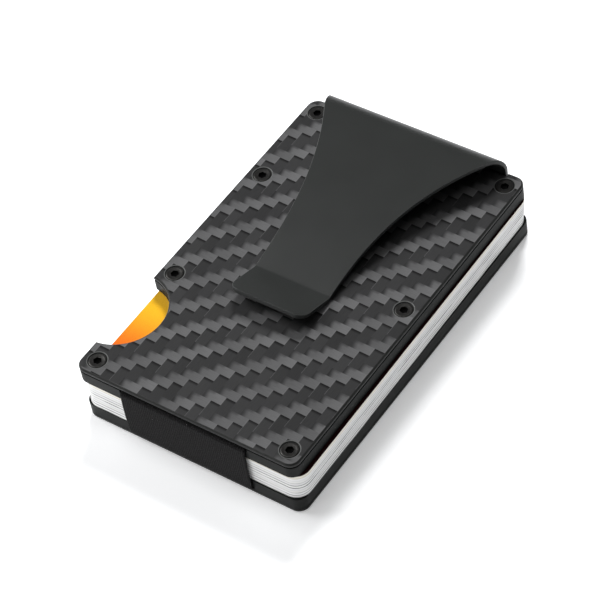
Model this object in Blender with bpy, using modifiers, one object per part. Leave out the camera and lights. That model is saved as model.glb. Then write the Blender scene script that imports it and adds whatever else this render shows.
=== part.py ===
"""Card holder with a spring money clip: two screwed plate pairs, elastic bands, a card stack and the clip.

Metres, +Z up. The origin is the middle of the back plate's outer face, which the holder lies on.
+Y runs along the plates towards the clip's bend, and +X towards the side that the cards leave from.
"""

import math

import bmesh
import bpy
from mathutils import Matrix

MM = 0.001

# Plates: a thin outer plate screwed to a thicker inner plate, front and back alike.
PLATE_WIDTH = 54.0 * MM
PLATE_LENGTH = 86.0 * MM
PLATE_CORNER = 2.4 * MM
OUTER_THICK = 1.1 * MM
OUTER_CHAMFER = 0.3 * MM
INNER_THICK = 2.75 * MM
INNER_CHAMFER = 0.2 * MM
SEAM = 0.05 * MM

# Thumb notch in the -X edge of every plate, a part of one circle.
NOTCH_RADIUS = 9.9 * MM
NOTCH_X = -28.1 * MM
NOTCH_Y = -25.7 * MM

# Bank cards, stacked with their edges a little out of line.
CARD_COUNT = 9
CARD_LENGTH = 85.6 * MM
CARD_WIDTH = 53.98 * MM
CARD_THICK = 0.76 * MM
CARD_PITCH = 0.8 * MM
CARD_CORNER = 3.18 * MM
CARD_TURN = math.radians(0.3)
CARD_LOWEST_SHIFT = -0.1 * MM
CARD_HIGHEST_SHIFT = 0.6 * MM

# Countersunk socket screws.
SCREW_INSET_X = 3.34 * MM
SCREW_INSET_Y = 3.55 * MM
LEFT_SCREWS_Y = (18.65 * MM, -12.96 * MM)
RIGHT_SCREW_Y = 1.0 * MM
SINK_RADIUS = 2.15 * MM
HOLE_RADIUS = 1.25 * MM
HEAD_RADIUS = 1.85 * MM
HEAD_HEIGHT = 0.95 * MM
HEAD_DEPTH = 0.12 * MM
HEAD_RIM = 0.1 * MM
SHANK_RADIUS = 0.95 * MM
SCREW_LENGTH = 3.2 * MM
SOCKET_RADIUS = 0.92 * MM
SOCKET_DEPTH = 0.7 * MM
SOCKET_SIDES = 6
SINK_SEGMENTS = 28
HOLE_SEGMENTS = 20
SCREW_SEGMENTS = 24

# Elastic bands, held between the outer and inner plates at both short ends.
BAND_WIDTH = 30.6 * MM
BAND_THICK = 0.5 * MM
BAND_TAB = 10.0 * MM
BAND_BEND = 0.75 * MM
BAND_GAP = 0.12 * MM
BAND_BULGE = 0.12 * MM
BAND_STEPS = 10
BAND_POCKET = 0.7 * MM
BAND_CLEARANCE = 0.35 * MM

# Money clip: a strip of spring steel, folded round the far end of the front outer plate.
CLIP_THICK = 0.95 * MM
CLIP_HALF_END = 22.1 * MM
CLIP_HALF_TIP = 9.3 * MM
CLIP_FLARE = 9.51 * MM
CLIP_FLARE_LENGTH = 40.2 * MM
CLIP_FLARE_POWER = 2.37
CLIP_RISE = 5.7 * MM
BEND_RADIUS = 5.2 * MM
BEND_Y = 38.15 * MM
ARM_RADIUS = 193.0 * MM
ARM_STEPS = 22
KINK_Y = -4.2 * MM
LIP_LENGTH = 9.0 * MM
LIP_ANGLE = math.radians(18.5)
LIP_CORNER = 2.5 * MM
LIP_CORNER_STEPS = 6
FOLD_RADIUS = 1.4 * MM
TONGUE_END_Y = 34.0 * MM
EAR_HALF = 25.9 * MM
EAR_END_Y = 41.6 * MM
EAR_GAP = 0.2 * MM
CLIP_SPLIT = math.radians(45)
CLIP_SPLIT_GAP = 0.3 * MM
CLIP_SLOT_GAP = 0.3 * MM

# Heights, from the back plate's outer face up.
BACK_INNER_Z = OUTER_THICK + SEAM
CARDS_Z = BACK_INNER_Z + INNER_THICK + SEAM
FRONT_INNER_Z = CARDS_Z + (CARD_COUNT - 1) * CARD_PITCH + CARD_THICK + SEAM
FRONT_OUTER_Z = FRONT_INNER_Z + INNER_THICK + SEAM
FRONT_FACE_Z = FRONT_OUTER_Z + OUTER_THICK

ARC_STEP = math.radians(9)
CHAMFERED_EDGE = math.radians(40)
BAND_SMOOTH = math.radians(35)
CLIP_SMOOTH = math.radians(25)


def clear_scene():
    for obj in list(bpy.data.objects):
        bpy.data.objects.remove(obj, do_unlink=True)


def new_collection(name):
    collection = bpy.data.collections.new(name)
    bpy.context.scene.collection.children.link(collection)
    return collection


def material(name, color, roughness, metallic=0.0):
    made = bpy.data.materials.new(name)
    made.use_nodes = True
    shader = made.node_tree.nodes["Principled BSDF"]
    shader.inputs["Base Color"].default_value = (*color, 1.0)
    shader.inputs["Roughness"].default_value = roughness
    shader.inputs["Metallic"].default_value = metallic
    return made


def arc(center, radius, start, end):
    """Points on a circle from one angle to another, both ends included."""
    count = max(2, math.ceil(abs(end - start) / ARC_STEP))
    angles = [start + (end - start) * i / count for i in range(count + 1)]
    return [(center[0] + radius * math.cos(a), center[1] + radius * math.sin(a)) for a in angles]


def outline_solid(outline, low, thick):
    """A closed mesh with this flat outline, from z = low upwards."""
    curve = bpy.data.curves.new("outline", "CURVE")
    curve.dimensions = "2D"
    curve.fill_mode = "BOTH"
    curve.extrude = thick / 2
    spline = curve.splines.new("POLY")
    spline.points.add(len(outline) - 1)
    for point, (x, y) in zip(spline.points, outline):
        point.co = (x, y, 0, 1)
    spline.use_cyclic_u = True
    guide = bpy.data.objects.new("outline", curve)
    bpy.context.scene.collection.objects.link(guide)
    graph = bpy.context.evaluated_depsgraph_get()
    mesh = bpy.data.meshes.new_from_object(guide.evaluated_get(graph))
    bpy.data.objects.remove(guide)
    shape = bmesh.new()
    shape.from_mesh(mesh)
    bmesh.ops.remove_doubles(shape, verts=shape.verts, dist=1e-7)
    bmesh.ops.translate(shape, verts=shape.verts, vec=(0, 0, low + thick / 2))
    bmesh.ops.recalc_face_normals(shape, faces=shape.faces)
    shape.to_mesh(mesh)
    shape.free()
    return mesh


def add_object(name, mesh, collection, surface=None):
    obj = bpy.data.objects.new(name, mesh)
    collection.objects.link(obj)
    if surface:
        mesh.materials.clear()
        mesh.materials.append(surface)
    return obj


def add_cutter(name, mesh, collection):
    cutter = add_object(name, mesh, collection)
    cutter.hide_render = True
    cutter.display_type = "WIRE"
    return cutter


def cylinders(centers, low_radius, high_radius, low, high, segments):
    """One mesh of upright cones or cylinders at these places."""
    shape = bmesh.new()
    for x, y in centers:
        place = Matrix.Translation((x, y, (low + high) / 2))
        bmesh.ops.create_cone(
            shape,
            cap_ends=True,
            segments=segments,
            radius1=low_radius,
            radius2=high_radius,
            depth=high - low,
            matrix=place,
        )
    mesh = bpy.data.meshes.new("cylinders")
    shape.to_mesh(mesh)
    shape.free()
    return mesh


def box_mesh(low, high):
    shape = bmesh.new()
    bmesh.ops.create_cube(shape, size=1)
    size = [b - a for a, b in zip(low, high)]
    middle = [(a + b) / 2 for a, b in zip(low, high)]
    bmesh.ops.scale(shape, verts=shape.verts, vec=size)
    bmesh.ops.translate(shape, verts=shape.verts, vec=middle)
    mesh = bpy.data.meshes.new("box")
    shape.to_mesh(mesh)
    shape.free()
    return mesh


def bevel(obj, width):
    modifier = obj.modifiers.new("edges", "BEVEL")
    modifier.width = width
    modifier.segments = 1
    modifier.limit_method = "ANGLE"
    modifier.angle_limit = CHAMFERED_EDGE


def cut(obj, cutter):
    modifier = obj.modifiers.new(cutter.name, "BOOLEAN")
    modifier.operation = "DIFFERENCE"
    modifier.object = cutter


def screw_places():
    """Seven screws a side: the corners, two along the -X edge and one in the middle of the +X edge."""
    x = PLATE_WIDTH / 2 - SCREW_INSET_X
    y = PLATE_LENGTH / 2 - SCREW_INSET_Y
    corners = [(-x, y), (x, y), (-x, -y), (x, -y)]
    return corners + [(-x, side) for side in LEFT_SCREWS_Y] + [(x, RIGHT_SCREW_Y)]


def plate_outline(clip_slot=False):
    """The plates' outline, counterclockwise, with the thumb notch and, in one plate, the clip's slot."""
    x = PLATE_WIDTH / 2 - PLATE_CORNER
    y = PLATE_LENGTH / 2 - PLATE_CORNER
    quarter = math.pi / 2
    points = arc((x, y), PLATE_CORNER, 0, quarter)
    if clip_slot:
        slot_x = CLIP_HALF_END + CLIP_SLOT_GAP
        slot_y = BEND_Y + BEND_RADIUS - CLIP_THICK - CLIP_SLOT_GAP
        top = PLATE_LENGTH / 2
        points += [(slot_x, top), (slot_x, slot_y), (-slot_x, slot_y), (-slot_x, top)]
    points += arc((-x, y), PLATE_CORNER, quarter, 2 * quarter)
    mouth = math.acos((-PLATE_WIDTH / 2 - NOTCH_X) / NOTCH_RADIUS)
    points += arc((NOTCH_X, NOTCH_Y), NOTCH_RADIUS, mouth, -mouth)
    points += arc((-x, -y), PLATE_CORNER, 2 * quarter, 3 * quarter)
    points += arc((x, -y), PLATE_CORNER, 3 * quarter, 4 * quarter)
    return points


def outer_plate(name, low, sink_up, collection, cutters, surface):
    """A thin plate with countersunk holes that open on its outer face, up or down."""
    mesh = outline_solid(plate_outline(clip_slot=sink_up), low, OUTER_THICK)
    plate = add_object(name, mesh, collection, surface)
    bevel(plate, OUTER_CHAMFER)
    slope = (SINK_RADIUS - HOLE_RADIUS) / OUTER_THICK
    over = SEAM / 2
    wide = SINK_RADIUS + slope * over
    narrow = HOLE_RADIUS - slope * over
    radii = (narrow, wide) if sink_up else (wide, narrow)
    sinks = cylinders(screw_places(), *radii, low - over, low + OUTER_THICK + over, SINK_SEGMENTS)
    cut(plate, add_cutter(name + "_sinks", sinks, cutters))
    return plate


def inner_plate(name, low, pockets, collection, cutters, surface):
    """A thicker plate with screw holes and pockets for the bands and the clip's tongue."""
    plate = add_object(name, outline_solid(plate_outline(), low, INNER_THICK), collection, surface)
    bevel(plate, INNER_CHAMFER)
    top = low + INNER_THICK
    holes = cylinders(screw_places(), HOLE_RADIUS, HOLE_RADIUS, low - MM, top + MM, HOLE_SEGMENTS)
    cut(plate, add_cutter(name + "_holes", holes, cutters))
    for place, (box_low, box_high) in pockets.items():
        cut(plate, add_cutter(name + "_" + place, box_mesh(box_low, box_high), cutters))
    return plate


def band_pocket(end, low, high):
    """The space in an inner plate that a band's tab lies in, at the end +1 or -1."""
    half = BAND_WIDTH / 2 + BAND_CLEARANCE
    inside = end * (PLATE_LENGTH / 2 - BAND_TAB - BAND_CLEARANCE)
    outside = end * (PLATE_LENGTH / 2 + MM)
    return (-half, min(inside, outside), low), (half, max(inside, outside), high)


def tongue_pockets(top):
    """The spaces in the front inner plate for the clip's tongue with its ears, and for its fold."""
    floor = top - CLIP_THICK - 2 * SEAM
    over = top + MM
    ear_x = EAR_HALF + EAR_GAP
    fold_x = CLIP_HALF_END + CLIP_SLOT_GAP
    tongue = ((-ear_x, TONGUE_END_Y - CLIP_SLOT_GAP, floor), (ear_x, EAR_END_Y + CLIP_SLOT_GAP, over))
    fold = ((-fold_x, TONGUE_END_Y - CLIP_SLOT_GAP, floor), (fold_x, PLATE_LENGTH / 2 + MM, over))
    return tongue, fold, floor


def screw_mesh(cutters):
    """A countersunk screw with its head's face at z = 0 and its axis on Z."""
    profile = [
        (0, 0),
        (HEAD_RADIUS - HEAD_RIM, 0),
        (HEAD_RADIUS, -HEAD_RIM),
        (SHANK_RADIUS, -HEAD_HEIGHT),
        (SHANK_RADIUS, HEAD_RIM - SCREW_LENGTH),
        (SHANK_RADIUS - HEAD_RIM, -SCREW_LENGTH),
        (0, -SCREW_LENGTH),
    ]
    shape = bmesh.new()
    verts = [shape.verts.new((r, 0, z)) for r, z in profile]
    for first, second in zip(verts, verts[1:]):
        shape.edges.new((first, second))
    mesh = bpy.data.meshes.new("screw")
    shape.to_mesh(mesh)
    shape.free()
    turned = add_object("screw", mesh, cutters)
    spin = turned.modifiers.new("turn", "SCREW")
    spin.steps = SCREW_SEGMENTS
    spin.render_steps = SCREW_SEGMENTS
    spin.use_merge_vertices = True
    spin.merge_threshold = 1e-6
    socket = cylinders([(0, 0)], SOCKET_RADIUS, SOCKET_RADIUS, -SOCKET_DEPTH, MM, SOCKET_SIDES)
    cut(turned, add_cutter("socket", socket, cutters))
    graph = bpy.context.evaluated_depsgraph_get()
    result = bpy.data.meshes.new_from_object(turned.evaluated_get(graph))
    result.name = "countersunk_screw"
    bpy.data.objects.remove(turned)
    return result


def ribbon(name, path, half_widths, thick, collection, surface, columns=2):
    """A strip bent along a path in the YZ plane, as wide as stated at each point of it.

    The path is the strip's right side as seen along it, and the thickness lies to its left."""
    shape = bmesh.new()
    rows = len(path)
    bmesh.ops.create_grid(shape, x_segments=columns, y_segments=rows - 1, size=0.5)
    verts = sorted(shape.verts, key=lambda v: (round(v.co.y, 6), v.co.x))
    for index, vert in enumerate(verts):
        row, column = divmod(index, columns + 1)
        y, z = path[row]
        across = 2 * column / columns - 1
        vert.co = (across * half_widths[row], y, z)
    mesh = bpy.data.meshes.new(name)
    shape.to_mesh(mesh)
    shape.free()
    strip = add_object(name, mesh, collection, surface)
    shell = strip.modifiers.new("thickness", "SOLIDIFY")
    shell.thickness = thick
    shell.offset = 1
    shell.use_even_offset = True
    return strip


def smooth(obj, angle):
    obj.data.shade_smooth()
    obj.data.set_sharp_from_angle(angle=angle)


def band_path(end, low_z, high_z):
    """The outer side of a band in YZ: in along the lower tab, round the end in a shallow bow, and back in."""
    start_y = PLATE_LENGTH / 2 - BAND_TAB
    outer_y = PLATE_LENGTH / 2 + BAND_GAP + BAND_THICK
    low_bend = (outer_y - BAND_BEND, low_z + BAND_BEND)
    high_bend = (outer_y - BAND_BEND, high_z - BAND_BEND)
    points = [(start_y, low_z)] + arc(low_bend, BAND_BEND, -math.pi / 2, 0)
    height = high_bend[1] - low_bend[1]
    for i in range(1, BAND_STEPS):
        share = i / BAND_STEPS
        bow = BAND_BULGE * math.sin(math.pi * share)
        points.append((outer_y + bow, low_bend[1] + height * share))
    points += arc(high_bend, BAND_BEND, 0, math.pi / 2) + [(start_y, high_z)]
    return [(end * y, z) for y, z in points]


def band(name, end, low_z, high_z, collection, surface):
    path = band_path(end, low_z, high_z)
    widths = [BAND_WIDTH / 2] * len(path)
    strip = ribbon(name, path if end > 0 else path[::-1], widths, BAND_THICK, collection, surface)
    smooth(strip, BAND_SMOOTH)
    return strip


def clip_half_width(y):
    """Half the clip's width at this y of its outer side: it flares from the kink on, less so in the bend."""
    run = max(0.0, min(y, BEND_Y) - KINK_Y) / CLIP_FLARE_LENGTH
    half = CLIP_HALF_TIP + CLIP_FLARE * run**CLIP_FLARE_POWER
    round_bend = max(0.0, y - BEND_Y) / BEND_RADIUS
    return half + (CLIP_HALF_END - half) * min(1.0, round_bend)


def lip_half_width(distance_to_tip):
    """Half the lip's width, rounded at the tip's corners."""
    if distance_to_tip >= LIP_CORNER:
        return CLIP_HALF_TIP
    along = LIP_CORNER - distance_to_tip
    return CLIP_HALF_TIP - LIP_CORNER + math.sqrt(max(0.0, LIP_CORNER**2 - along**2))


def clip_arm(collection, surface):
    """The clip's free part: the bend's upper half, the long arched arm and the lip that flares up."""
    center = (BEND_Y, FRONT_FACE_Z + CLIP_RISE - BEND_RADIUS)
    half_gap = CLIP_SPLIT_GAP / 2 / BEND_RADIUS
    bend = arc(center, BEND_RADIUS, CLIP_SPLIT + half_gap, math.pi / 2)
    top = FRONT_FACE_Z + CLIP_RISE
    reach = math.asin((BEND_Y - KINK_Y) / ARM_RADIUS)
    arm = []
    for i in range(1, ARM_STEPS + 1):
        turn = reach * i / ARM_STEPS
        arm.append((BEND_Y - ARM_RADIUS * math.sin(turn), top - ARM_RADIUS * (1 - math.cos(turn))))
    kink_y, kink_z = arm[-1]
    path = bend + arm
    widths = [clip_half_width(y) for y, _ in path]
    straight = LIP_LENGTH - LIP_CORNER
    for i in range(LIP_CORNER_STEPS + 1):
        along = straight + LIP_CORNER * math.sin(math.pi / 2 * i / LIP_CORNER_STEPS)
        path.append((kink_y - along * math.cos(LIP_ANGLE), kink_z + along * math.sin(LIP_ANGLE)))
        widths.append(lip_half_width(LIP_LENGTH - along))
    arm_object = ribbon("money_clip_arm", path, widths, CLIP_THICK, collection, surface, columns=4)
    smooth(arm_object, CLIP_SMOOTH)
    return arm_object


def clip_base(collection, cutters, surface):
    """The clip's fixed part: the bend's lower half, the fold and the tongue, with an ear and a hole at each screw."""
    center = (BEND_Y, FRONT_FACE_Z + CLIP_RISE - BEND_RADIUS)
    half_gap = CLIP_SPLIT_GAP / 2 / BEND_RADIUS
    tongue_z = FRONT_OUTER_Z - SEAM - CLIP_THICK - SEAM
    fold = (BEND_Y + BEND_RADIUS - FOLD_RADIUS, tongue_z + FOLD_RADIUS)
    path = [(TONGUE_END_Y, tongue_z), (EAR_END_Y - SEAM, tongue_z), (EAR_END_Y, tongue_z)]
    widths = [EAR_HALF, EAR_HALF, CLIP_HALF_END]
    low_bend = arc(center, BEND_RADIUS, 0, CLIP_SPLIT - half_gap)
    for point in arc(fold, FOLD_RADIUS, -math.pi / 2, 0) + low_bend:
        path.append(point)
        widths.append(clip_half_width(point[0]))
    base = ribbon("money_clip_base", path, widths, CLIP_THICK, collection, surface, columns=4)
    ears = [(x, y) for x, y in screw_places() if y > TONGUE_END_Y]
    above = tongue_z + CLIP_THICK + MM
    holes = cylinders(ears, HOLE_RADIUS, HOLE_RADIUS, tongue_z - MM, above, HOLE_SEGMENTS)
    cut(base, add_cutter("money_clip_holes", holes, cutters))
    smooth(base, CLIP_SMOOTH)
    return base


def card_mesh():
    x = CARD_WIDTH / 2 - CARD_CORNER
    y = CARD_LENGTH / 2 - CARD_CORNER
    quarter = math.pi / 2
    outline = []
    for index, corner in enumerate(((x, y), (-x, y), (-x, -y), (x, -y))):
        outline += arc(corner, CARD_CORNER, index * quarter, (index + 1) * quarter)
    return outline_solid(outline, 0, CARD_THICK)


def add_screws(prefix, face_z, facing_up, mesh, collection):
    for number, (x, y) in enumerate(screw_places(), 1):
        screw = bpy.data.objects.new(f"{prefix}_screw_{number}", mesh)
        collection.objects.link(screw)
        depth = -HEAD_DEPTH if facing_up else HEAD_DEPTH
        screw.location = (x, y, face_z + depth)
        if not facing_up:
            screw.rotation_euler = (math.pi, 0, 0)


def add_cards(collection, surface, top_surface):
    for number in range(1, CARD_COUNT + 1):
        share = (number - 1) / (CARD_COUNT - 1)
        shift = CARD_LOWEST_SHIFT + (CARD_HIGHEST_SHIFT - CARD_LOWEST_SHIFT) * share
        printed = top_surface if number == CARD_COUNT else surface
        card = add_object(f"card_{number}", card_mesh(), collection, printed)
        card.location = (shift, 0, CARDS_Z + (number - 1) * CARD_PITCH)
        card.rotation_euler = (0, 0, CARD_TURN)


def build():
    clear_scene()
    parts = new_collection("card_holder_with_money_clip")
    cutters = new_collection("cutters")

    carbon = material("carbon_laminate", (0.09, 0.09, 0.095), 0.38)
    black_metal = material("black_anodised", (0.03, 0.032, 0.031), 0.45, 0.6)
    clip_steel = material("coated_spring_steel", (0.045, 0.047, 0.045), 0.36, 0.8)
    screw_steel = material("black_screw_steel", (0.05, 0.05, 0.05), 0.3, 0.9)
    elastic = material("knitted_elastic", (0.017, 0.015, 0.017), 0.9)
    card_white = material("card_plastic", (0.85, 0.85, 0.86), 0.4)
    card_orange = material("printed_card", (0.93, 0.35, 0.08), 0.4)

    low_tab = BACK_INNER_Z + (BAND_POCKET - BAND_THICK) / 2
    back_pockets = {
        "notch_end": band_pocket(-1, BACK_INNER_Z - MM, BACK_INNER_Z + BAND_POCKET),
        "clip_end": band_pocket(1, BACK_INNER_Z - MM, BACK_INNER_Z + BAND_POCKET),
    }
    front_top = FRONT_INNER_Z + INNER_THICK
    tongue, fold, floor = tongue_pockets(front_top)
    front_pockets = {
        "notch_end": band_pocket(-1, front_top - BAND_POCKET, front_top + MM),
        "clip_end": band_pocket(1, floor - BAND_POCKET, floor + MM / 2),
        "tongue": tongue,
        "fold": fold,
    }
    tab_gap = (BAND_POCKET - BAND_THICK) / 2

    outer_plate("back_outer_plate", 0, False, parts, cutters, carbon)
    inner_plate("back_inner_plate", BACK_INNER_Z, back_pockets, parts, cutters, black_metal)
    add_cards(parts, card_white, card_orange)
    inner_plate("front_inner_plate", FRONT_INNER_Z, front_pockets, parts, cutters, black_metal)
    outer_plate("front_outer_plate", FRONT_OUTER_Z, True, parts, cutters, carbon)
    band("elastic_band_notch_end", -1, low_tab, front_top - tab_gap, parts, elastic)
    band("elastic_band_clip_end", 1, low_tab, floor - tab_gap, parts, elastic)
    clip_base(parts, cutters, clip_steel)
    clip_arm(parts, clip_steel)
    screw = screw_mesh(cutters)
    screw.materials.clear()
    screw.materials.append(screw_steel)
    add_screws("front", FRONT_FACE_Z, True, screw, parts)
    add_screws("back", 0, False, screw, parts)


build()
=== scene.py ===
"""Looks of the card holder with a spring money clip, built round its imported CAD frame.

Everything is in metres in the frame of the CAD model: the holder lies on its back plate at z = 0,
+Y runs towards the clip's bend, and +X towards the side that the cards leave from.
"""

import math

import bmesh
import bpy
from mathutils import Matrix, Vector
from mathutils.geometry import tessellate_polygon


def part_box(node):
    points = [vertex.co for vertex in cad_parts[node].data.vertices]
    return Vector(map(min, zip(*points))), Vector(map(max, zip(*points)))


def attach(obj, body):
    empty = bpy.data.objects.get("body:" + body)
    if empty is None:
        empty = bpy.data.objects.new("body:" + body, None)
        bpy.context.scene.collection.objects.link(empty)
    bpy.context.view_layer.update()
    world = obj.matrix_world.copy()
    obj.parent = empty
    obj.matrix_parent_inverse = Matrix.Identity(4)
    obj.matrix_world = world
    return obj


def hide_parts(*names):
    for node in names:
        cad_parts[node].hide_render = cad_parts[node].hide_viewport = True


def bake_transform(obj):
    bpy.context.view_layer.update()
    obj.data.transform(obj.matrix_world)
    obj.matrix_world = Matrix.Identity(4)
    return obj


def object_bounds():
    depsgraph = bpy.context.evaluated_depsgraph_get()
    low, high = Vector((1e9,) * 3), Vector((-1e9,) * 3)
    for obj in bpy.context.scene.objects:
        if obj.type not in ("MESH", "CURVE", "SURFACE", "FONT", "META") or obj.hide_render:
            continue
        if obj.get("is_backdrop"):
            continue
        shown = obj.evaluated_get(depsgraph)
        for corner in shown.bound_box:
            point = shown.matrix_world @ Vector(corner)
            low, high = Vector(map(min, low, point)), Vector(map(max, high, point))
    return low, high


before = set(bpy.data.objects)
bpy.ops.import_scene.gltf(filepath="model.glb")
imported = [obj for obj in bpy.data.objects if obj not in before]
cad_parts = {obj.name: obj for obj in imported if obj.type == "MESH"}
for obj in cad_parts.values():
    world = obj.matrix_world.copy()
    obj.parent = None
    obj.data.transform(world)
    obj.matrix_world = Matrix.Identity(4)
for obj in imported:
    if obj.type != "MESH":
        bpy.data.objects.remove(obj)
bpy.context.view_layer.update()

MM = 0.001
QUARTER = math.pi / 2

# Plates.
_, PLATE_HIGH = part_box("front_outer_plate")
_, BACK_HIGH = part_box("back_outer_plate")
HALF_WIDTH = PLATE_HIGH.x
HALF_LENGTH = BACK_HIGH.y
PLATE_CORNER = 2.4 * MM
CHAMFER = 0.3 * MM
FILLET = 0.07 * MM
SINK_FILLET = 0.12 * MM
NOTCH_RADIUS = 9.9 * MM
NOTCH_X = -28.1 * MM
NOTCH_Y = -25.7 * MM
SINK_RADIUS = 2.15 * MM
HOLE_RADIUS = 1.25 * MM
SCREWS_A_SIDE = 7
LOOP_POINTS = 48
CORNER_STEPS = 14
NOTCH_STEPS = 48
PLATE_SMOOTH = math.radians(28)

# Screws.
HEAD_RADIUS = 1.85 * MM
HEAD_HEIGHT = 0.95 * MM
SHANK_RADIUS = 0.95 * MM
SCREW_LENGTH = 3.2 * MM
HEAD_RIM = 0.1 * MM
HEAD_STEP_OUTER = 1.42 * MM
HEAD_STEP_INNER = 1.36 * MM
HEAD_STEP_DEPTH = 0.02 * MM
SOCKET_RADIUS = 0.92 * MM
SOCKET_LIP = 0.06 * MM
SOCKET_DEPTH = 0.7 * MM
SOCKET_TIP_RADIUS = 0.3 * MM
SOCKET_TIP_DEPTH = 0.15 * MM
RECESS_RINGS = 3
SCREW_TURN_DEGREES = 23
SCREW_SMOOTH = math.radians(32)

# Money clip, a strip of spring steel.
_, CLIP_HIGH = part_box("money_clip_arm")
BASE_LOW, BASE_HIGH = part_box("money_clip_base")
CLIP_THICK = 0.95 * MM
CLIP_EDGE = 0.16 * MM
CLIP_HALF_END = 22.1 * MM
CLIP_HALF_TIP = 9.3 * MM
CLIP_FLARE = 9.51 * MM
CLIP_FLARE_LENGTH = 40.2 * MM
CLIP_FLARE_POWER = 2.37
BEND_RADIUS = 5.2 * MM
BEND_Y = BASE_HIGH.y - BEND_RADIUS
BEND_Z = CLIP_HIGH.z - BEND_RADIUS
ARM_RADIUS = 193.0 * MM
KINK_Y = -4.2 * MM
KINK_RADIUS = 1.6 * MM
LIP_LENGTH = 9.0 * MM
LIP_ANGLE = math.radians(18.5)
LIP_CORNER = 2.5 * MM
FOLD_RADIUS = 1.4 * MM
EAR_END_Y = 38.0 * MM
EAR_STEP = 0.05 * MM
CLIP_SLOT_GAP = 0.3 * MM
CLIP_COLUMNS = 14
FOLD_STEPS = 9
BEND_STEPS = 24
ARM_STEPS = 56
KINK_STEPS = 6
LIP_STEPS = 8
LIP_CORNER_STEPS = 9
TIP_STEPS = 3
TIP_STEPS_A_QUARTER = 3.4
STRIP_SMOOTH = math.radians(40)
STRIP_CORNER_STEPS = 3

# Elastic bands.
BAND_THICK = 0.5 * MM
BAND_TAB = 10.0 * MM
BAND_BEND = 0.75 * MM
BAND_BEND_STEPS = 9
BAND_BULGE = 0.12 * MM
BAND_RIB = 0.51 * MM
BAND_RIB_HEIGHT = 0.03 * MM
BAND_STITCH = 0.62 * MM
BAND_EDGE = 0.25 * MM
BAND_TAB_STEPS = 12
BAND_BOW_STEPS = 60

# Twill: the tow width along X and Y, the slight slope of the tows, and a crossing to start from.
TOW_X = 2.365 * MM
TOW_Y = 2.09 * MM
TOW_SLOPE = 0.031
TWILL_X = 10.02 * MM
TWILL_Y = -24.25 * MM

# Cards.
CARD_LOW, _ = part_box("card_1")
CARD_PITCH = 0.8 * MM

# Camera: a long lens, turned round the holder, raised and rolled.
CAMERA_AZIMUTH = math.radians(42.78)
CAMERA_ELEVATION = math.radians(47.8)
CAMERA_ROLL = math.radians(-11.07)
CAMERA_DISTANCE = 0.5329
CAMERA_TARGET = Vector((3.64 * MM, -6.83 * MM, PLATE_HIGH.z))
CAMERA_LENS = 158.4

# Floor.
FLOOR_HALF = 3.0
FLOOR_GAP = 0.02 * MM
FLOOR_SMOOTH = math.radians(30)


# --- Materials -------------------------------------------------------------------------------


class Shading:
    """A material being built. A value is a number, a tuple or another node's output."""

    def __init__(self, name, **settings):
        self.material = bpy.data.materials.new(name)
        self.material.use_nodes = True
        self.tree = self.material.node_tree
        self.shader = self.tree.nodes["Principled BSDF"]
        for socket, value in settings.items():
            self.set(socket.replace("_", " ").title().replace("Ior", "IOR"), value)

    def put(self, socket, value):
        if isinstance(value, bpy.types.NodeSocket):
            self.tree.links.new(value, socket)
        else:
            socket.default_value = value

    def set(self, socket, value):
        """Sets one of the shader's inputs, by its name."""
        if isinstance(value, tuple) and len(value) == 3:
            value = (*value, 1.0)
        self.put(self.shader.inputs[socket], value)

    def add(self, kind, *values, out=0, **settings):
        node = self.tree.nodes.new("ShaderNode" + kind)
        for name, value in settings.items():
            setattr(node, name, value)
        for socket, value in zip(node.inputs, values):
            if value is not None:
                self.put(socket, value)
        return node.outputs[out]

    def math(self, operation, *values):
        return self.add("Math", *values, operation=operation)

    def scaled(self, vector, scale):
        return self.add("VectorMath", vector, scale, operation="MULTIPLY")

    def split(self, vector):
        node = self.tree.nodes.new("ShaderNodeSeparateXYZ")
        self.tree.links.new(vector, node.inputs[0])
        return list(node.outputs)

    def join(self, *values):
        return self.add("CombineXYZ", *values)

    def step(self, value, low, high, start=0.0, end=1.0):
        """A smooth step from start, where value is low, to end, where it is high."""
        return self.add("MapRange", value, low, high, start, end, interpolation_type="SMOOTHSTEP")

    def noise(self, vector, scale, detail=2.0, roughness=0.5):
        return self.add("TexNoise", vector, None, scale, detail, roughness)

    def mix(self, factor, a, b):
        """Mixes two colours, each a tuple or an output."""
        node = self.tree.nodes.new("ShaderNodeMix")
        node.data_type = "RGBA"
        self.put(node.inputs[0], factor)
        for socket, value in ((node.inputs[6], a), (node.inputs[7], b)):
            if isinstance(value, tuple):
                value = (*value, 1.0)
            self.put(socket, value)
        return node.outputs[2]

    def bump(self, height, distance, strength=1.0):
        node = self.tree.nodes.new("ShaderNodeBump")
        node.inputs["Strength"].default_value = strength
        node.inputs["Distance"].default_value = distance
        self.put(node.inputs["Height"], height)
        self.put(self.shader.inputs["Normal"], node.outputs[0])

    def place(self):
        """The point's place in the row frame, for a piece whose object sits at the origin."""
        return self.add("TexCoord", out=3)

    def stored(self, name):
        """A vector stored on the mesh under this name."""
        return self.add("Attribute", out=1, attribute_name=name)


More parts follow.
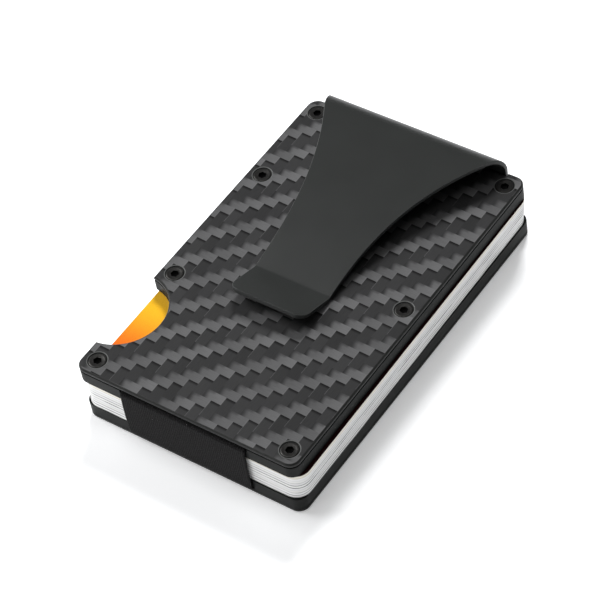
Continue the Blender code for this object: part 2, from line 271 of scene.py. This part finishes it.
def twill():
    """Clear-coated 2/2 carbon twill. Tows along X are painted a lighter grey, a painted reflection of the
    light that they catch, and tows along Y stay dark.
    """
    g = Shading("carbon_twill", roughness=0.42, specular_ior_level=0.25)
    x, y, _ = g.split(g.place())
    across = g.math("DIVIDE", g.math("SUBTRACT", x, TWILL_X), TOW_X)
    sloped = g.math("MULTIPLY_ADD", x, TOW_SLOPE, y)
    along = g.math("DIVIDE", g.math("SUBTRACT", sloped, TWILL_Y), TOW_Y)
    column = g.math("FLOOR", across)
    row = g.math("FLOOR", along)
    in_column = g.math("SUBTRACT", across, column)
    in_row = g.math("SUBTRACT", along, row)
    phase = g.math("FLOORED_MODULO", g.math("ADD", g.math("SUBTRACT", column, row), 2.0), 4.0)
    weft_over = g.math("LESS_THAN", phase, 1.5)

    # Along a float: 0 at the left end of a light one, and at the lower end of a dark one.
    weft_run = g.math("MULTIPLY", g.math("ADD", phase, in_column), 0.5)
    warp_run = g.math("MULTIPLY", g.math("ADD", g.math("SUBTRACT", 3.0, phase), in_row), 0.5)

    # Each float has a tone of its own.
    weft_id = g.join(g.math("SUBTRACT", column, phase), row, 0.0)
    warp_id = g.join(column, g.math("ADD", row, phase), 7.0)
    weft_tone = g.add("TexWhiteNoise", weft_id, noise_dimensions="3D")
    warp_tone = g.add("TexWhiteNoise", warp_id, noise_dimensions="3D")

    # Fibres run along their tow.
    weft_fibres = g.noise(g.scaled(g.place(), (450.0, 9000.0, 1.0)), 1.0, 3.0, 0.6)
    warp_fibres = g.noise(g.scaled(g.place(), (9000.0, 450.0, 1.0)), 1.0, 3.0, 0.6)
    patches = g.noise(g.place(), 420.0, 2.0)

    # The painted reflection of a light float fades at its left end, where the float dives under: this
    # painted edge is soft, slants, and fades towards +Y too.
    dive = g.math("MULTIPLY_ADD", in_row, -0.10, 0.17)
    dive = g.math("MULTIPLY_ADD", patches, 0.16, g.math("SUBTRACT", dive, 0.08))
    lit = g.step(g.math("SUBTRACT", weft_run, dive), -0.12, 0.18)
    left_half = g.step(weft_run, 0.36, 0.54, 1.0, 0.0)
    faded = g.math("MULTIPLY", left_half, g.step(in_row, 0.6, 1.0, 0.0, 0.6))
    lit = g.math("MULTIPLY", lit, g.math("SUBTRACT", 1.0, faded))
    # A painted highlight along a light float's right edge, and painted shading that darkens the float
    # towards its left end.
    right_edge_highlight = g.step(weft_run, 0.93, 0.985)
    left_end_shading = g.step(weft_run, 0.1, 0.9, 0.8, 1.0)
    # A light float's lighter grey is a painted reflection; its tone and fibres are its own.
    weft_value = g.math("MULTIPLY_ADD", weft_tone, 0.034, 0.092)
    weft_value = g.math("MULTIPLY_ADD", g.math("SUBTRACT", weft_fibres, 0.5), 0.06, weft_value)
    weft_value = g.math("MULTIPLY_ADD", right_edge_highlight, 0.018, g.math("MULTIPLY", weft_value, left_end_shading))
    warp_value = g.math("MULTIPLY_ADD", warp_tone, 0.012, 0.027)
    warp_value = g.math("MULTIPLY_ADD", g.math("SUBTRACT", warp_fibres, 0.5), 0.018, warp_value)

    # A dark float is painted darkest right under the light float that crosses it, a painted shadow, and a
    # few have a painted highlight along one edge.
    shadow = g.step(warp_run, 0.80, 0.985, 1.0, 0.2)
    warp_value = g.math("MULTIPLY", warp_value, shadow)
    seam_tone = g.add("TexWhiteNoise", g.join(column, 3.0, g.math("FLOOR", g.math("DIVIDE", row, 3.0))))
    seam_highlight = g.math("GREATER_THAN", seam_tone, 0.66)
    line = g.math("LESS_THAN", in_column, 0.035)
    warp_value = g.math("MULTIPLY_ADD", g.math("MULTIPLY", line, seam_highlight), 0.06, warp_value)

    under = g.math("MULTIPLY_ADD", warp_tone, 0.01, 0.02)
    weft_value = g.add("Mix", lit, None, under, weft_value)
    value = g.add("Mix", weft_over, None, warp_value, weft_value)
    g.set("Base Color", g.mix(value, (0.0, 0.0, 0.0), (1.0, 1.0, 1.02)))

    # The tows' crowns stand a little proud under the lacquer.
    weft_crown = g.math("SINE", g.math("MULTIPLY", in_row, math.pi))
    warp_crown = g.math("SINE", g.math("MULTIPLY", in_column, math.pi))
    crown = g.add("Mix", weft_over, None, warp_crown, weft_crown)
    g.bump(crown, 0.012 * MM, 0.6)
    g.set("Roughness", g.math("MULTIPLY_ADD", weft_fibres, 0.12, 0.34))
    return g.material


def laminate_edge(name, wear_and_highlight):
    """The machined edge of a carbon plate: thin plies and dark resin, with a painted highlight of the given
    strength on its corners.
    """
    g = Shading(name, roughness=0.45, specular_ior_level=0.15)
    _, _, z = g.split(g.place())
    _, _, facing = g.split(g.add("TexCoord", out=1))
    bevelled = g.step(g.math("ABSOLUTE", facing), 0.62, 0.85)
    plies = g.math("SINE", g.math("MULTIPLY", z, 2 * math.pi / (0.22 * MM)))
    grain = g.noise(g.scaled(g.place(), (900.0, 900.0, 9000.0)), 1.0, 3.0)
    value = g.math("MULTIPLY_ADD", plies, 0.006, 0.026)
    value = g.math("MULTIPLY_ADD", g.math("SUBTRACT", grain, 0.5), 0.03, value)
    # Painted highlight on the bevels, as strong as the caller gives.
    value = g.math("MULTIPLY_ADD", bevelled, wear_and_highlight, value)
    g.set("Base Color", g.mix(value, (0.0, 0.0, 0.0), (0.97, 1.0, 0.98)))
    g.bump(grain, 0.01 * MM, 0.5)
    return g.material


def anodised():
    """Bead-blasted, black anodised plate."""
    g = Shading("black_anodised", roughness=0.5, specular_ior_level=0.12)
    grains = g.noise(g.place(), 9000.0, 2.0)
    clouds = g.noise(g.place(), 160.0, 3.0)
    value = g.math("MULTIPLY_ADD", clouds, 0.008, 0.005)
    value = g.math("MULTIPLY_ADD", grains, 0.006, value)
    g.set("Base Color", g.mix(value, (0.0, 0.0, 0.0), (0.93, 1.0, 0.96)))
    g.set("Roughness", g.math("MULTIPLY_ADD", clouds, 0.16, 0.42))
    g.bump(grains, 0.006 * MM, 0.5)
    return g.material


def coated_steel():
    """The clip's satin black coating: a fine grain, slow changes of gloss, and a painted highlight along
    its edges.
    """
    g = Shading("satin_black_coating", roughness=0.42, specular_ior_level=0.35)
    strip = g.stored("strip")
    rim, _, _ = g.split(g.stored("rim"))
    grain = g.noise(strip, 11000.0, 2.0)
    clouds = g.noise(strip, 90.0, 3.0)
    value = g.math("MULTIPLY_ADD", clouds, 0.006, 0.021)
    value = g.math("MULTIPLY_ADD", grain, 0.004, value)
    # Painted highlight along the strip's outer corners.
    value = g.math("MULTIPLY_ADD", rim, 0.03, value)
    g.set("Base Color", g.mix(value, (0.0, 0.0, 0.0), (0.94, 1.0, 0.97)))
    g.set("Roughness", g.math("MULTIPLY_ADD", clouds, 0.10, 0.37))
    g.bump(grain, 0.004 * MM, 0.4)
    return g.material


def screw_steel():
    """Black oxide on turned steel, with the turning marks of the head's face."""
    g = Shading("black_screw_steel", metallic=0.85, roughness=0.35)
    x, y, _ = g.split(g.place())
    radius = g.math("SQRT", g.math("ADD", g.math("MULTIPLY", x, x), g.math("MULTIPLY", y, y)))
    rings = g.math("SINE", g.math("MULTIPLY", radius, 2 * math.pi / (0.12 * MM)))
    stain = g.noise(g.place(), 1500.0, 2.0)
    value = g.math("MULTIPLY_ADD", rings, 0.012, 0.075)
    value = g.math("MULTIPLY_ADD", g.math("SUBTRACT", stain, 0.5), 0.05, value)
    g.set("Base Color", g.mix(value, (0.0, 0.0, 0.0), (1.0, 0.98, 0.95)))
    g.set("Roughness", g.math("MULTIPLY_ADD", stain, 0.2, 0.26))
    g.bump(rings, 0.004 * MM, 0.5)
    return g.material


def socket_recess():
    """The inside of a screw's socket: black oxide steel, painted darker still with the shade of the recess.
    """
    g = Shading("black_socket_recess", metallic=0.2, roughness=0.7, specular_ior_level=0.1)
    recess_mottle = g.noise(g.place(), 3000.0, 2.0)
    # Near black: painted shade of the recess.
    g.set("Base Color", g.mix(recess_mottle, (0.002, 0.002, 0.002), (0.009, 0.009, 0.009)))
    g.bump(recess_mottle, 0.004 * MM, 0.5)
    return g.material


def knit():
    """Knitted elastic: matt ribs, small stitches and a few specks of lint."""
    g = Shading("knitted_elastic", roughness=0.95, specular_ior_level=0.15, sheen_weight=0.05)
    g.set("Sheen Roughness", 0.5)
    strip = g.stored("strip")
    x, s, _ = g.split(strip)
    rib = g.math("COSINE", g.math("MULTIPLY", x, 2 * math.pi / BAND_RIB))
    stitch = g.math("COSINE", g.math("MULTIPLY", s, 2 * math.pi / (BAND_STITCH / 2)))
    fuzz = g.noise(strip, 3200.0, 3.0, 0.7)
    loops = g.step(fuzz, 0.46, 0.70)
    cells = g.tree.nodes.new("ShaderNodeTexVoronoi")
    g.put(cells.inputs["Vector"], strip)
    cells.inputs["Scale"].default_value = 560.0
    chance, _, _ = g.split(cells.outputs["Color"])
    reach = g.math("MULTIPLY_ADD", chance, 0.13, -0.06)
    lint = g.math("LESS_THAN", cells.outputs["Distance"], reach)
    value = g.math("MULTIPLY_ADD", rib, 0.001, 0.003)
    value = g.math("MULTIPLY_ADD", stitch, 0.0008, value)
    value = g.math("MULTIPLY_ADD", loops, 0.020, value)
    value = g.math("MULTIPLY_ADD", lint, 0.3, value)
    g.set("Base Color", g.mix(value, (0.0, 0.0, 0.0), (1.0, 0.94, 1.0)))
    ribs = g.math("MULTIPLY", rib, 0.25)
    loft = g.math("ADD", fuzz, g.math("MULTIPLY", stitch, 0.15))
    relief = g.math("ADD", ribs, loft)
    g.bump(relief, 0.05 * MM, 0.7)
    return g.material


def card_layers(g, depth):
    """How much of the core shows at a card's edge: depth less on the dirty line along its lower film."""
    _, _, z = g.split(g.place())
    height = g.math("FRACT", g.math("DIVIDE", g.math("SUBTRACT", z, CARD_LOW.z), CARD_PITCH))
    waver = g.noise(g.scaled(g.place(), (300.0, 300.0, 1.0)), 1.0, 2.0)
    height = g.math("MULTIPLY_ADD", g.math("SUBTRACT", waver, 0.5), 0.08, height)
    wear_and_highlight = g.step(g.noise(g.scaled(g.place(), (120.0, 120.0, 900.0)), 1.0, 3.0), 0.38, 0.58, 0.4, 1.0)
    line = g.step(g.math("ABSOLUTE", g.math("SUBTRACT", height, 0.12)), 0.12, 0.20, 1.0, 0.0)
    return g.math("SUBTRACT", 1.0, g.math("MULTIPLY", g.math("MULTIPLY", line, wear_and_highlight), depth))


def card_plastic(number, tint, depth):
    """White card plastic. Each card has a slightly different white, and its film shows more or less."""
    g = Shading(f"card_plastic_{number}", roughness=0.38, specular_ior_level=0.4)
    _, _, facing = g.split(g.add("TexCoord", out=1))
    edge = g.math("LESS_THAN", g.math("ABSOLUTE", facing), 0.5)
    grain = g.noise(g.place(), 2500.0, 2.0)
    layered = g.mix(card_layers(g, depth), (0.07, 0.07, 0.075), tint)
    face = g.mix(grain, tuple(c * 0.96 for c in tint), tint)
    g.set("Base Color", g.mix(edge, face, layered))
    g.bump(grain, 0.003 * MM, 0.3)
    return g.material


def printed_card():
    """The top card: a plain printed blend from yellow and orange to dark red, on a white core."""
    g = Shading("printed_card", roughness=0.32, specular_ior_level=0.4)
    x, y, _ = g.split(g.place())
    _, _, facing = g.split(g.add("TexCoord", out=1))
    printed = g.math("GREATER_THAN", facing, 0.5)
    warm = g.step(y, NOTCH_Y - 8.0 * MM, NOTCH_Y + 7.0 * MM)
    sunny = g.mix(warm, (0.80, 0.14, 0.012), (0.86, 0.47, 0.02))
    deep = g.step(x, -12.0 * MM, 18.0 * MM)
    ink = g.mix(deep, sunny, (0.030, 0.003, 0.003))
    dots = g.noise(g.place(), 6000.0, 1.0)
    uneven = g.math("MULTIPLY_ADD", dots, 0.3, 0.85)
    ink = g.scaled(ink, g.join(uneven, uneven, uneven))
    layered = g.mix(card_layers(g, 0.3), (0.40, 0.34, 0.28), (0.88, 0.85, 0.76))
    g.set("Base Color", g.mix(printed, layered, ink))
    g.bump(dots, 0.003 * MM, 0.3)
    return g.material


# --- Shapes ----------------------------------------------------------------------------------


def arc(center, radius, start, end, count):
    """Points on a circle from one angle to another, in count steps, both ends included."""
    angles = [start + (end - start) * i / count for i in range(count + 1)]
    return [(center[0] + radius * math.cos(a), center[1] + radius * math.sin(a)) for a in angles]


def finished(name, shape, materials, sharp):
    """An object at the origin made from a bmesh, smooth where its faces meet at less than this angle."""
    bmesh.ops.recalc_face_normals(shape, faces=shape.faces)
    mesh = bpy.data.meshes.new(name)
    shape.to_mesh(mesh)
    shape.free()
    mesh.shade_smooth()
    mesh.set_sharp_from_angle(angle=sharp)
    obj = bpy.data.objects.new(name, mesh)
    bpy.context.scene.collection.objects.link(obj)
    for surface in materials:
        mesh.materials.append(surface)
    weighted = obj.modifiers.new("normals", "WEIGHTED_NORMAL")
    weighted.keep_sharp = True
    return obj


def skin(shape, loops, material_index=0):
    """Joins each ring of vertices to the next with quads."""
    for low, high in zip(loops, loops[1:]):
        for i in range(len(low)):
            j = (i + 1) % len(low)
            face = shape.faces.new((low[i], low[j], high[j], high[i]))
            face.material_index = material_index


def plate_loop(inset, slot):
    """The plates' outline moved inwards by inset, counterclockwise."""
    x = HALF_WIDTH - PLATE_CORNER
    y = HALF_LENGTH - PLATE_CORNER
    radius = PLATE_CORNER - inset
    loop = arc((x, y), radius, 0, QUARTER, CORNER_STEPS)
    if slot:
        half, floor = slot
        top = HALF_LENGTH - inset
        loop += [(half + inset, top), (half + inset, floor - inset)]
        loop += [(-half - inset, floor - inset), (-half - inset, top)]
    loop += arc((-x, y), radius, QUARTER, 2 * QUARTER, CORNER_STEPS)
    reach = NOTCH_RADIUS + inset
    mouth = math.acos((inset - HALF_WIDTH - NOTCH_X) / reach)
    loop += arc((NOTCH_X, NOTCH_Y), reach, mouth, -mouth, NOTCH_STEPS)
    loop += arc((-x, -y), radius, 2 * QUARTER, 3 * QUARTER, CORNER_STEPS)
    loop += arc((x, -y), radius, 3 * QUARTER, 4 * QUARTER, CORNER_STEPS)
    return loop


def circle(x, y, radius):
    """Points round a circle, as many as a screw has."""
    turns = [2 * math.pi * i / LOOP_POINTS for i in range(LOOP_POINTS)]
    return [(x + radius * math.cos(t), y + radius * math.sin(t)) for t in turns]


def edge_profile(size):
    """Depth below the face and inset of a chamfer whose two corners are slightly rounded."""
    cut = FILLET / math.sqrt(2)
    return [
        (0.0, size + FILLET),
        (0.2 * FILLET, size + 0.15 * FILLET),
        (cut, size - cut),
        (size - cut, cut),
        (size + 0.15 * FILLET, 0.2 * FILLET),
        (size + FILLET, 0.0),
    ]


def carbon_plate(name, node, screws, outer_up, slot, surfaces):
    """An outer plate: chamfered outline, countersunk holes that open on its outer face."""
    low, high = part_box(node)
    thick = high.z - low.z
    face_z, inward = (high.z, -1) if outer_up else (low.z, 1)
    shape = bmesh.new()

    def ring(points, depth):
        return [shape.verts.new((x, y, face_z + inward * depth)) for x, y in points]

    profile = edge_profile(CHAMFER)
    levels = profile + [(thick - depth, inset) for depth, inset in reversed(profile)]
    outline = [ring(plate_loop(inset, slot), depth) for depth, inset in levels]
    skin(shape, outline, 1)
    rim = [
        (0.0, SINK_FILLET),
        (0.2 * SINK_FILLET, 0.15 * SINK_FILLET),
        (0.8 * SINK_FILLET, -0.65 * SINK_FILLET),
    ]
    holes = []
    for x, y in screws:
        radii = [(depth, SINK_RADIUS + grow) for depth, grow in rim] + [(thick, HOLE_RADIUS)]
        loops = [ring(circle(x, y, radius), depth) for depth, radius in radii]
        skin(shape, loops[: len(rim)], 2)
        skin(shape, loops[len(rim) - 1 :], 1)
        holes.append(loops)
    for end in (0, -1):
        rings = [outline[end]] + [loops[end] for loops in holes]
        flat = [vert for loop in rings for vert in loop]
        for corners in tessellate_polygon([[v.co for v in loop] for loop in rings]):
            shape.faces.new([flat[i] for i in corners])
    return finished(name, shape, surfaces, PLATE_SMOOTH)


def screw_loops():
    """Depth, radius and share of hexagon of each ring of a screw, from its tip to its socket's floor."""
    return [
        (SCREW_LENGTH, SHANK_RADIUS - HEAD_RIM, 0),
        (SCREW_LENGTH - HEAD_RIM, SHANK_RADIUS, 0),
        (HEAD_HEIGHT, SHANK_RADIUS, 0),
        (HEAD_RIM, HEAD_RADIUS, 0),
        (0.5 * HEAD_RIM, HEAD_RADIUS - 0.2 * HEAD_RIM, 0),
        (0.12 * HEAD_RIM, HEAD_RADIUS - 0.7 * HEAD_RIM, 0),
        (0.0, HEAD_RADIUS - 1.3 * HEAD_RIM, 0),
        (0.0, HEAD_STEP_OUTER, 0),
        (HEAD_STEP_DEPTH, HEAD_STEP_INNER, 0),
        (HEAD_STEP_DEPTH, SOCKET_RADIUS + SOCKET_LIP, 1),
        (HEAD_STEP_DEPTH + SOCKET_LIP, SOCKET_RADIUS, 1),
        (SOCKET_DEPTH, SOCKET_RADIUS, 1),
        (SOCKET_DEPTH + SOCKET_TIP_DEPTH, SOCKET_TIP_RADIUS, 0),
    ]


def hexagon(turn):
    """The radius of a hexagon at this angle, as a share of its corners' radius."""
    sixth = math.pi / 3
    return math.cos(sixth / 2) / math.cos(turn % sixth - sixth / 2)


def screw_mesh(surface, recess):
    """The mesh that all the screws share. The socket's wall and floor have a material of their own."""
    shape = bmesh.new()
    rings = []
    for depth, radius, six in screw_loops():
        ring = []
        for i in range(LOOP_POINTS):
            turn = 2 * math.pi * i / LOOP_POINTS
            reach = radius * (hexagon(turn) if six else 1.0)
            ring.append(shape.verts.new((reach * math.cos(turn), reach * math.sin(turn), -depth)))
        rings.append(ring)
    wall = len(rings) - RECESS_RINGS
    skin(shape, rings[: wall + 1])
    skin(shape, rings[wall:], 1)
    shape.faces.new(rings[0])
    shape.faces.new(rings[-1]).material_index = 1
    obj = finished("socket_screw", shape, [surface, recess], SCREW_SMOOTH)
    mesh = obj.data
    bpy.data.objects.remove(obj)
    return mesh


def fit_screws(mesh):
    """A fine screw in the place of each plain one, turned a little differently each time."""
    for side, body in (("front", "front_plate"), ("back", "back_plate")):
        for number in range(1, SCREWS_A_SIDE + 1):
            node = f"{side}_screw_{number}"
            low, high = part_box(node)
            screw = bpy.data.objects.new(f"{side}_socket_screw_{number}", mesh)
            bpy.context.scene.collection.objects.link(screw)
            face = high.z if side == "front" else low.z
            screw.location = ((low.x + high.x) / 2, (low.y + high.y) / 2, face)
            flip = 0.0 if side == "front" else math.pi
            screw.rotation_euler = (flip, 0.0, math.radians(SCREW_TURN_DEGREES * number))
            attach(screw, body)
            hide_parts(node)


def strip_section(half, thick, edge, columns):
    """Points (x, depth) round a strip's section, its long edges rounded, from the outer face's -X end."""
    flat = [(half - edge) * (2 * i / columns - 1) for i in range(columns + 1)]
    turns = [QUARTER * i / STRIP_CORNER_STEPS for i in range(1, STRIP_CORNER_STEPS)]
    out_corner = [(half - edge + edge * math.sin(t), edge - edge * math.cos(t)) for t in turns]
    in_corner = [(x, thick - depth) for x, depth in reversed(out_corner)]
    right = out_corner + [(half, edge), (half, thick - edge)] + in_corner
    left = [(-x, depth) for x, depth in reversed(right)]
    return [(x, 0.0) for x in flat] + right + [(x, thick) for x in reversed(flat)] + left


def strip(name, path, halves, thick, edge, columns, surface, relief=None, thin=None):
    """A strip lofted along a path of its outer side in the YZ plane. It stores its own flat coordinates.

    relief(x, s) raises both faces. thin holds how much is taken off each face at each point of the path."""
    shape = bmesh.new()
    place = shape.verts.layers.float_vector.new("strip")
    rim = shape.verts.layers.float_vector.new("rim")
    rings = []
    run = 0.0
    for index, (y, z) in enumerate(path):
        before = path[max(index - 1, 0)]
        after = path[min(index + 1, len(path) - 1)]
        dy, dz = after[0] - before[0], after[1] - before[1]
        length = math.hypot(dy, dz)
        out_y, out_z = dz / length, -dy / length
        if index:
            run += math.hypot(y - before[0], z - before[1])
        shaved = thin[index] if thin else 0.0
        left = thick - 2 * shaved
        ring = []
        for x, depth in strip_section(halves[index], left, min(edge, left / 2), columns):
            depth += shaved
            raised = relief(x, run) if relief else 0.0
            if depth > thick / 2:
                raised = -raised
            lift = raised - depth
            vert = shape.verts.new((x, y + out_y * lift, z + out_z * lift))
            vert[place] = (x, run, depth)
            # Outer corners are marked for the coating's painted edge highlight.
            on_corner = halves[index] - abs(x) < edge * 0.9 and depth < edge * 0.6
            vert[rim] = (1.0 if on_corner else 0.0, 0.0, 0.0)
            ring.append(vert)
        rings.append(ring)
    skin(shape, rings)
    shape.faces.new(rings[0])
    shape.faces.new(rings[-1])
    return finished(name, shape, [surface], STRIP_SMOOTH)


def clip_half_width(y):
    """Half the clip's width at this y of its outer side. It flares from the kink on, up to its end."""
    run = max(0.0, min(y, BEND_Y) - KINK_Y) / CLIP_FLARE_LENGTH
    half = CLIP_HALF_TIP + CLIP_FLARE * run**CLIP_FLARE_POWER
    round_bend = max(0.0, y - BEND_Y) / BEND_RADIUS
    return half + (CLIP_HALF_END - half) * min(1.0, round_bend)


def clip_path():
    """The clip's outer side in YZ with half widths, from its tongue to the start of its lip.

    The tongue's ears end before the screws. The lip's start is returned once more on its own."""
    tongue_z = BASE_LOW.z
    points = [
        ((BASE_LOW.y, tongue_z), BASE_HIGH.x),
        ((EAR_END_Y - EAR_STEP, tongue_z), BASE_HIGH.x),
        ((EAR_END_Y, tongue_z), CLIP_HALF_END),
    ]
    fold = (BASE_HIGH.y - FOLD_RADIUS, tongue_z + FOLD_RADIUS)
    bend = (BEND_Y, BEND_Z)
    curve = arc(fold, FOLD_RADIUS, -QUARTER, 0, FOLD_STEPS)
    curve += arc(bend, BEND_RADIUS, 0, QUARTER, BEND_STEPS)[1:]
    reach = math.asin((BEND_Y - KINK_Y) / ARM_RADIUS)
    turn = reach + LIP_ANGLE
    tangent = KINK_RADIUS * math.tan(turn / 2)
    stop = reach - tangent / ARM_RADIUS
    top = BEND_Z + BEND_RADIUS
    for i in range(1, ARM_STEPS + 1):
        a = stop * i / ARM_STEPS
        curve.append((BEND_Y - ARM_RADIUS * math.sin(a), top - ARM_RADIUS * (1 - math.cos(a))))
    y, z = curve[-1]
    center = (y + KINK_RADIUS * -math.sin(stop), z + KINK_RADIUS * math.cos(stop))
    curve += arc(center, KINK_RADIUS, stop - QUARTER, -QUARTER - LIP_ANGLE, KINK_STEPS)[1:]
    points += [(point, clip_half_width(point[0])) for point in curve]
    return points, curve[-1]


def clip_strip(surface):
    """The whole money clip in one strip: tongue, fold, bend, arm and lip."""
    points, (kink_y, kink_z) = clip_path()
    thin = [0.0] * len(points)
    straight = LIP_LENGTH - LIP_CORNER
    alongs = [straight * i / LIP_STEPS for i in range(1, LIP_STEPS)]
    for i in range(LIP_CORNER_STEPS + 1):
        turn = QUARTER * i / LIP_CORNER_STEPS
        alongs.append(straight + (LIP_CORNER - CLIP_EDGE) * math.sin(turn))
    tip = LIP_LENGTH - CLIP_EDGE
    shaves = [0.0] * len(alongs)
    for i in range(1, TIP_STEPS + 1):
        angle = QUARTER * i / TIP_STEPS_A_QUARTER
        alongs.append(tip + CLIP_EDGE * math.sin(angle))
        shaves.append(CLIP_EDGE * (1 - math.cos(angle)))
    for along, shave in zip(alongs, shaves):
        inside = max(0.0, along - straight)
        half = CLIP_HALF_TIP - LIP_CORNER + math.sqrt(max(0.0, LIP_CORNER**2 - inside**2))
        place = (kink_y - along * math.cos(LIP_ANGLE), kink_z + along * math.sin(LIP_ANGLE))
        points.append((place, half))
        thin.append(shave)
    path = [point for point, _ in points]
    halves = [half for _, half in points]
    clip = strip("money_clip", path, halves, CLIP_THICK, CLIP_EDGE, CLIP_COLUMNS, surface, thin=thin)
    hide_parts("money_clip_base", "money_clip_arm")
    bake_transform(clip)


def band_path(end, low_z, high_z, flush_y):
    """A band's outer side in YZ: out along the lower tab, up round the end in a bow, and back in."""
    start_y = HALF_LENGTH - BAND_TAB
    bend_y = flush_y - BAND_BULGE - BAND_BEND
    low_bend = (bend_y, low_z + BAND_BEND)
    high_bend = (bend_y, high_z - BAND_BEND)
    tab = [start_y + (bend_y - start_y) * i / BAND_TAB_STEPS for i in range(BAND_TAB_STEPS)]
    points = [(y, low_z) for y in tab] + arc(low_bend, BAND_BEND, -QUARTER, 0, BAND_BEND_STEPS)
    height = high_bend[1] - low_bend[1]
    for i in range(1, BAND_BOW_STEPS):
        share = i / BAND_BOW_STEPS
        bow = BAND_BULGE * math.sin(math.pi * share)
        points.append((bend_y + BAND_BEND + bow, low_bend[1] + height * share))
    points += arc(high_bend, BAND_BEND, 0, QUARTER, BAND_BEND_STEPS)
    points += [(y, high_z) for y in reversed(tab)]
    return [(end * y, z) for y, z in points]


def band_relief(x, s):
    """Ribs along the band, and stitches that alternate from rib to rib."""
    rib = math.cos(2 * math.pi * x / BAND_RIB)
    column = round(x / BAND_RIB)
    stitch = math.cos(2 * math.pi * s / BAND_STITCH + math.pi * column)
    return BAND_RIB_HEIGHT * (0.6 * rib + 0.25 * stitch - 0.85)


def elastic_band(name, node, surface):
    """A knitted band from the back plate round the card stack to the front plate."""
    low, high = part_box(node)
    end = 1 if high.y > 0 else -1
    flush = max(abs(low.y), abs(high.y))
    path = band_path(end, low.z, high.z, flush)
    if end < 0:
        path = path[::-1]
    columns = 4 * round((high.x - low.x) / BAND_RIB)
    halves = [high.x] * len(path)
    band = strip(name, path, halves, BAND_THICK, BAND_EDGE, columns, surface, relief=band_relief)
    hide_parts(node)
    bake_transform(band)
    length = sum(math.dist(a, b) for a, b in zip(path, path[1:]))
    return band, length


# --- Camera, light and floor -----------------------------------------------------------------


def camera():
    """Places the camera: back points from its target to it, and side and top are its own axes."""
    level = math.cos(CAMERA_ELEVATION)
    back_x = math.sin(CAMERA_AZIMUTH) * level
    back_y = -math.cos(CAMERA_AZIMUTH) * level
    back = Vector((back_x, back_y, math.sin(CAMERA_ELEVATION)))
    right = Vector((0, 0, 1)).cross(back).normalized()
    up = back.cross(right)
    side = math.cos(CAMERA_ROLL) * right + math.sin(CAMERA_ROLL) * up
    top = math.cos(CAMERA_ROLL) * up - math.sin(CAMERA_ROLL) * right
    data = bpy.data.cameras.new("camera")
    data.lens = CAMERA_LENS
    data.clip_start = 0.01
    data.clip_end = 20.0
    obj = bpy.data.objects.new("camera", data)
    bpy.context.scene.collection.objects.link(obj)
    turned = Matrix((side, top, back)).transposed().to_4x4()
    obj.matrix_world = Matrix.Translation(CAMERA_TARGET + back * CAMERA_DISTANCE) @ turned
    bpy.context.scene.camera = obj


def softbox(name, place, size, power, glossy=True):
    """A square lamp that faces the holder. One that is not glossy makes no highlights."""
    data = bpy.data.lights.new(name, "AREA")
    data.shape = "SQUARE"
    data.size = size
    data.energy = power
    obj = bpy.data.objects.new(name, data)
    bpy.context.scene.collection.objects.link(obj)
    obj.location = place
    obj.rotation_euler = (-Vector(place)).to_track_quat("-Z", "Y").to_euler()
    obj.visible_glossy = glossy


def studio():
    """A faint white world, four soft lamps and a plain paper floor."""
    world = bpy.data.worlds.new("studio")
    bpy.context.scene.world = world
    world.use_nodes = True
    sky = world.node_tree.nodes["Background"]
    sky.inputs["Color"].default_value = (1.0, 1.0, 1.0, 1.0)
    sky.inputs["Strength"].default_value = 0.06
    softbox("key", (-0.26, 0.62, 0.74), 0.24, 9.4, glossy=False)
    softbox("overhead", (0.0, -0.1, 1.1), 0.8, 2.0)
    softbox("left_fill", (-0.8, -0.14, 0.62), 0.6, 7.0)
    softbox("front_fill", (-0.45, -0.95, 0.2), 0.5, 2.4)

    shape = bmesh.new()
    bmesh.ops.create_grid(shape, x_segments=1, y_segments=1, size=FLOOR_HALF)
    paper = Shading("floor_paper", base_color=(0.90, 0.91, 0.925), roughness=0.9, emission_strength=0.34)
    paper.set("Emission Color", (1.0, 1.0, 1.0))
    floor = finished("floor", shape, [paper.material], FLOOR_SMOOTH)
    floor.location.z = -FLOOR_GAP
    floor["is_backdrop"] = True
    bpy.context.scene.view_settings.view_transform = "Standard"


# --- The object ------------------------------------------------------------------------------

# The countersinks' rims carry a painted highlight on their bevels; the other machined edges carry none.
surfaces = [twill(), laminate_edge("carbon_edge", 0.0), laminate_edge("carbon_sink_rim_highlight", 0.09)]
black_plate = anodised()
clip_coating = coated_steel()
elastic = knit()

screw_places = []
for number in range(1, SCREWS_A_SIDE + 1):
    low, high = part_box(f"front_screw_{number}")
    screw_places.append(((low.x + high.x) / 2, (low.y + high.y) / 2))

clip_slot = (CLIP_HALF_END + CLIP_SLOT_GAP, BASE_HIGH.y - CLIP_THICK - CLIP_SLOT_GAP)
front = carbon_plate("front_carbon_plate", "front_outer_plate", screw_places, True, clip_slot, surfaces)
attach(front, "front_plate")
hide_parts("front_outer_plate")
back = carbon_plate("back_carbon_plate", "back_outer_plate", screw_places, False, None, surfaces)
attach(back, "back_plate")
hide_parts("back_outer_plate")

for name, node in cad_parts.items():
    if name.endswith("inner_plate"):
        node.material_slots[0].material = black_plate
    elif name == "card_9":
        node.material_slots[0].material = printed_card()
    elif name.startswith("card_"):
        # Each card has its own white, and its film shows more or less.
        number = int(name[5:])
        tone = 0.86 + 0.03 * (number % 3)
        tint = (tone, tone, tone - 0.015 * (number % 2))
        film = 0.25 + 0.75 * (number * 3 % 4) / 3
        node.material_slots[0].material = card_plastic(number, tint, film)

fit_screws(screw_mesh(screw_steel(), socket_recess()))
clip_strip(clip_coating)
bands = (
    ("notch_end_knit_band", "elastic_band_notch_end"),
    ("clip_end_knit_band", "elastic_band_clip_end"),
)
for name, node in bands:
    band, length = elastic_band(name, node, elastic)

camera()
studio()

low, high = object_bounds()
